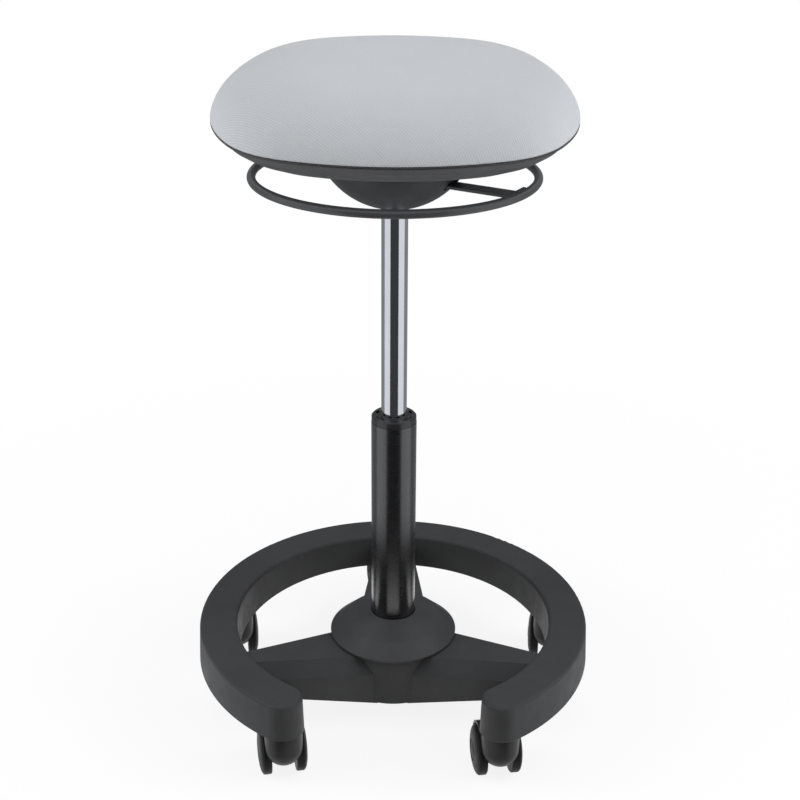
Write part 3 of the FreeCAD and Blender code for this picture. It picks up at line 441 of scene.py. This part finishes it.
def cloth_length(share, width):
    """Length over the crown from the middle of the seat to a share of the way out."""
    steps = np.linspace(0.0, 1.0, 400)
    rise = crown(steps)
    lengths = np.array([np.concatenate([[0.0], np.cumsum(np.hypot(np.diff(steps) * w, np.diff(rise)))])
                        for w in CLOTH_WIDTHS])
    rows = np.array([np.interp(share, steps, row) for row in lengths])
    at = (width - CLOTH_WIDTHS[0]) / (CLOTH_WIDTHS[1] - CLOTH_WIDTHS[0])
    low = np.clip(np.floor(at).astype(int), 0, len(CLOTH_WIDTHS) - 2)
    part = at - low
    index = np.arange(rows.shape[1])
    return rows[low, index] * (1.0 - part) + rows[low + 1, index] * part


def cushion_mesh():
    """Closed skin on one grid: a crowned top, and an underside raised over the board."""
    share, angle = (grid.reshape(-1) for grid in disc_grid(GRID))
    width = reach(angle)
    # Rings are drawn together towards the rim, where the crown turns down steeply
    out = 1.0 - np.power(1.0 - share, RING_CROWDING)
    top = np.stack([out * width * np.cos(angle), out * width * np.sin(angle), crown(out)], axis=-1)
    flat_share = np.minimum(share, UNDERSIDE_SHARE)
    below = np.stack([flat_share * width * np.cos(angle), flat_share * width * np.sin(angle),
                      np.zeros(len(share))], axis=-1)
    lift = np.clip((LIFT_SHARES[1] - flat_share) / (LIFT_SHARES[1] - LIFT_SHARES[0]), 0.0, 1.0)
    on_board = BOARD_TOP - SEAT_RIM_Z - below[:, 1] * math.tan(SEAT_SLOPE)
    below[:, 2] = lift * on_board - (1.0 - lift) * TUCK
    side, count = GRID + 1, len(share)
    faces = []
    for i in range(GRID):
        for j in range(GRID):
            a, b = i * side + j, (i + 1) * side + j
            faces.append((a, b, b + 1, a + 1))
            faces.append((a + 1 + count, b + 1 + count, b + count, a + count))
    loop = [(i, 0) for i in range(GRID)] + [(GRID, j) for j in range(GRID)]
    loop += [(i, GRID) for i in range(GRID, 0, -1)] + [(0, j) for j in range(GRID, 0, -1)]
    ring = [i * side + j for i, j in loop]
    for k, p in enumerate(ring):
        q = ring[(k + 1) % len(ring)]
        faces.append((q, p, p + count, q + count))
    length = cloth_length(out, width)
    flat = np.stack([length * np.cos(angle), length * np.sin(angle)], axis=-1)
    held = set(ring) | set(range(count, 2 * count))
    return np.concatenate([top, below]), faces, np.concatenate([flat, flat]), held


def cushion():
    """The padded seat, filled out by the cloth step, with its cloth laid out for the weave."""
    points, faces, flat, held = cushion_mesh()
    start = points.copy()
    start[:, :2] *= START_SCALE
    start[:, 2] = np.where(points[:, 2] > 0.0, points[:, 2] * START_SCALE, points[:, 2])
    placed = on_rim_plane(start)
    pad = new_object("seat_pad", placed, faces)
    pins = pad.vertex_groups.new(name="held")
    pins.add(sorted(held), 1.0, "REPLACE")
    fill_with_foam(pad, placed)
    layer = pad.data.uv_layers.new(name="cloth")
    for loop in pad.data.loops:
        layer.data[loop.index].uv = flat[loop.vertex_index]
    pad.vertex_groups.clear()
    apply_modifier(pad, pad.modifiers.new("fine", "SUBSURF"), levels=1, render_levels=1)
    return pad


def apply_modifier(obj, modifier, **settings):
    for key, value in settings.items():
        setattr(modifier, key, value)
    bpy.context.view_layer.objects.active = obj
    with bpy.context.temp_override(object=obj, active_object=obj):
        bpy.ops.object.modifier_apply(modifier=modifier.name)


def fill_with_foam(pad, placed):
    """Cloth step: the skin is blown out like foam under fabric, and kept within a small cap."""
    cloth = pad.modifiers.new("cloth", "CLOTH")
    settings = cloth.settings
    settings.quality = 8
    settings.mass = 0.3
    settings.tension_stiffness = 15.0
    settings.compression_stiffness = 15.0
    settings.shear_stiffness = 5.0
    settings.bending_stiffness = 2.0
    settings.use_pressure = True
    settings.uniform_pressure_force = CLOTH_PRESSURE
    settings.vertex_group_mass = "held"
    settings.effector_weights.gravity = 0.0
    cloth.point_cache.frame_start = 1
    cloth.point_cache.frame_end = CLOTH_FRAMES
    scene = bpy.context.scene
    for number in range(1, CLOTH_FRAMES + 1):
        scene.frame_set(number)
    blown = pad.evaluated_get(bpy.context.evaluated_depsgraph_get()).data
    moved = np.zeros(len(blown.vertices) * 3)
    blown.vertices.foreach_get("co", moved)
    moved = moved.reshape(-1, 3) - placed
    far = np.linalg.norm(moved, axis=1, keepdims=True)
    capped = moved * (CLOTH_CAP * np.tanh(far / CLOTH_CAP) / np.maximum(far, 1e-9))
    pad.modifiers.remove(cloth)
    pad.data.vertices.foreach_set("co", (placed + capped).reshape(-1))
    pad.data.update()
    scene.frame_set(1)


def swept(name, centre, normals, section):
    """Closed tube along a loop of points; section gives offsets along the outward normal and upward."""
    count, sides = len(centre), len(section)
    vertices = []
    for point, outward in zip(centre, normals):
        for out, up in section:
            vertices.append(point + outward * out + np.array([0.0, 0.0, up]))
    faces = []
    for k in range(count):
        n = (k + 1) % count
        for s in range(sides):
            t = (s + 1) % sides
            faces.append((k * sides + s, n * sides + s, n * sides + t, k * sides + t))
    return new_object(name, on_rim_plane(np.array(vertices)), faces)


def rim_loop(scale, height, per_arc=40):
    """Loop of points along the seat's outline, with its outward normals."""
    flat = outline_points(per_arc) * scale
    ahead = np.roll(flat, -1, axis=0) - np.roll(flat, 1, axis=0)
    ahead /= np.linalg.norm(ahead, axis=1, keepdims=True)
    outward = np.stack([ahead[:, 1], -ahead[:, 0], np.zeros(len(flat))], axis=1)
    return np.column_stack([flat, np.full(len(flat), height)]), outward


def rounded_section(half_width, half_height, sides=10):
    turns = [2.0 * math.pi * k / sides for k in range(sides)]
    return [(half_width * math.cos(a), half_height * math.sin(a)) for a in turns]


def lathed(name, profile, origin, axis, sides=40):
    """Turned piece from points of radius and distance along the axis, closed by a disc at both ends."""
    along = Vector(axis).normalized()
    first = along.orthogonal().normalized()
    second = along.cross(first)
    vertices = []
    for radius, offset in profile:
        for k in range(sides):
            a = 2.0 * math.pi * k / sides
            out = first * math.cos(a) + second * math.sin(a)
            vertices.append(Vector(origin) + along * offset + out * radius)
    faces = [tuple(range(sides))[::-1]]
    for row in range(len(profile) - 1):
        for k in range(sides):
            n = (k + 1) % sides
            low, high = row * sides, (row + 1) * sides
            faces.append((low + k, low + n, high + n, high + k))
    last = (len(profile) - 1) * sides
    faces.append(tuple(range(last, last + sides)))
    return new_object(name, vertices, faces)


def wheel_plugs():
    """A plug in the recess of each wheel."""
    for joint in frame["joints"]:
        if not joint["name"].startswith("wheel_roll"):
            continue
        side = -1.0 if "left" in joint["name"] else 1.0
        axis = Vector(joint["axis"]) * side
        which = joint["child"].replace("wheel_", "")
        plug = lathed("wheel_plug_" + which, PLUG, joint["pos_m"], axis)
        plug.data.materials.append(MATERIALS["caster_wheel"])
        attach(plug, joint["child"])


def plain_emission(name, colour):
    material = bpy.data.materials.new(name)
    material.use_nodes = True
    tree = material.node_tree
    tree.nodes.clear()
    glow = tree.nodes.new("ShaderNodeEmission")
    glow.inputs["Color"].default_value = (*colour, 1.0)
    glow.inputs["Strength"].default_value = 1.0
    end = tree.nodes.new("ShaderNodeOutputMaterial")
    tree.links.new(glow.outputs[0], end.inputs["Surface"])
    return material


def seen_rays(tree):
    """One for camera, glossy and transmission rays, nought for the rest."""
    path = tree.nodes.new("ShaderNodeLightPath")
    first = tree.nodes.new("ShaderNodeMath")
    first.operation = "MAXIMUM"
    tree.links.new(path.outputs["Is Camera Ray"], first.inputs[0])
    tree.links.new(path.outputs["Is Glossy Ray"], first.inputs[1])
    second = tree.nodes.new("ShaderNodeMath")
    second.operation = "MAXIMUM"
    tree.links.new(first.outputs[0], second.inputs[0])
    tree.links.new(path.outputs["Is Transmission Ray"], second.inputs[1])
    return second.outputs[0]


def light_world():
    world = bpy.data.worlds.new("studio")
    bpy.context.scene.world = world
    world.use_nodes = True
    tree = world.node_tree
    tree.nodes.clear()
    strength = tree.nodes.new("ShaderNodeMapRange")
    tree.links.new(seen_rays(tree), strength.inputs["Value"])
    strength.inputs["To Min"].default_value = AMBIENT
    strength.inputs["To Max"].default_value = 1.0
    sky = tree.nodes.new("ShaderNodeBackground")
    sky.inputs["Color"].default_value = (1.0, 1.0, 1.0, 1.0)
    tree.links.new(strength.outputs["Result"], sky.inputs["Strength"])
    end = tree.nodes.new("ShaderNodeOutputWorld")
    tree.links.new(sky.outputs[0], end.inputs["Surface"])


def lay_floor():
    """Pale floor: self-lit white where it is looked at, but for a share that takes the stool's shadow."""
    corners = [(x * FLOOR_HALF, y * FLOOR_HALF, 0.0) for x, y in ((-1, -1), (1, -1), (1, 1), (-1, 1))]
    floor = new_object("floor", corners, [(0, 1, 2, 3)], smooth=False)
    material = bpy.data.materials.new("pale floor")
    material.use_nodes = True
    tree = material.node_tree
    tree.nodes.clear()
    matt = tree.nodes.new("ShaderNodeBsdfDiffuse")
    matt.inputs["Color"].default_value = (0.9, 0.9, 0.9, 1.0)
    glow = tree.nodes.new("ShaderNodeEmission")
    glow.inputs["Strength"].default_value = 1.0
    mix = tree.nodes.new("ShaderNodeMixShader")
    share = tree.nodes.new("ShaderNodeMath")
    share.operation = "MULTIPLY"
    tree.links.new(seen_rays(tree), share.inputs[0])
    place = tree.nodes.new("ShaderNodeTexCoord")
    away = tree.nodes.new("ShaderNodeVectorMath")
    away.operation = "LENGTH"
    tree.links.new(place.outputs["Object"], away.inputs[0])
    fade = tree.nodes.new("ShaderNodeMapRange")
    tree.links.new(away.outputs["Value"], fade.inputs["Value"])
    fade.inputs["From Min"].default_value, fade.inputs["From Max"].default_value = SHADOW_REACH
    fade.inputs["To Min"].default_value = 1.0 - FLOOR_SHADOW
    tree.links.new(fade.outputs["Result"], share.inputs[1])
    tree.links.new(share.outputs[0], mix.inputs[0])
    tree.links.new(matt.outputs[0], mix.inputs[1])
    tree.links.new(glow.outputs[0], mix.inputs[2])
    end = tree.nodes.new("ShaderNodeOutputMaterial")
    tree.links.new(mix.outputs[0], end.inputs["Surface"])
    floor.data.materials.append(material)


def flag(name, start, end, material):
    """Curved wall that leans out from the stool's foot between two azimuths, seen in reflections alone."""
    vertices = []
    for k in range(FLAG_STEPS + 1):
        a = math.radians(start + (end - start) * k / FLAG_STEPS)
        for radius, height in FLAG_EDGES:
            vertices.append((radius * math.sin(a), -radius * math.cos(a), height))
    faces = [(2 * k, 2 * k + 2, 2 * k + 3, 2 * k + 1) for k in range(FLAG_STEPS)]
    wall = new_object(name, vertices, faces)
    wall.data.materials.append(material)
    wall.visible_camera = False
    wall.visible_diffuse = False
    wall.visible_shadow = False
    wall.visible_transmission = False
    wall.visible_volume_scatter = False


def stand_flags():
    for name, start, end, colour in FLAGS:
        flag(name, start, end, plain_emission(name, colour))


def softbox(name, azimuth, elevation, distance, size, power):
    """Square area lamp looking at the middle of the stool."""
    a, e = math.radians(azimuth), math.radians(elevation)
    back = Vector((math.sin(a) * math.cos(e), -math.cos(a) * math.cos(e), math.sin(e)))
    data = bpy.data.lights.new(name, "AREA")
    data.shape = "SQUARE"
    data.size = size
    data.energy = power
    lamp = bpy.data.objects.new(name, data)
    bpy.context.scene.collection.objects.link(lamp)
    lamp.location = LAMP_TARGET + back * distance
    lamp.rotation_mode = "QUATERNION"
    lamp.rotation_quaternion = (-back).to_track_quat("-Z", "Y")
    lamp.visible_glossy = False
    lamp.visible_camera = False


def light_studio():
    for lamp in LAMPS:
        softbox(*lamp)


def place_camera():
    level_right = Vector((1.0, 0.0, 0.0))
    level_up = Vector((0.0, math.sin(PITCH), math.cos(PITCH)))
    ahead = Vector((0.0, math.cos(PITCH), -math.sin(PITCH)))
    right = level_right * math.cos(ROLL) + level_up * math.sin(ROLL)
    up = level_up * math.cos(ROLL) - level_right * math.sin(ROLL)
    data = bpy.data.cameras.new("camera")
    data.lens = LENS
    data.sensor_width = SENSOR
    data.clip_end = 50.0
    camera = bpy.data.objects.new("camera", data)
    bpy.context.scene.collection.objects.link(camera)
    rows = [(right[k], up[k], -ahead[k]) for k in range(3)]
    turned = Matrix(rows).to_4x4()
    turned.translation = CAMERA
    camera.matrix_world = turned
    bpy.context.scene.camera = camera


slot_of = {part["node"]: part["material_slot"] for part in frame["record"]["subparts"]}
for node_name, node_object in nodes.items():
    for place in node_object.material_slots:
        place.material = MATERIALS[slot_of[node_name]]

seat_pad = cushion()
seat_pad.data.materials.append(MATERIALS["seat_fabric"])
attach(seat_pad, "seat")
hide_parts("seat_cushion")

# Painted shadow line: a black bead along the rim, where the fabric meets the shell
centre, outward = rim_loop(SHADOW_LINE_SHARE, SHADOW_LINE_HEIGHT)
shadow_line = swept("rim_lip", centre, outward, rounded_section(*SHADOW_LINE_HALF_SIZE))
shadow_line.data.materials.append(MATERIALS["guide_plastic"])
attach(shadow_line, "seat")

wheel_plugs()

light_world()
lay_floor()
stand_flags()
light_studio()
place_camera()
bpy.context.scene.view_settings.view_transform = "Standard"

bpy.context.view_layer.update()
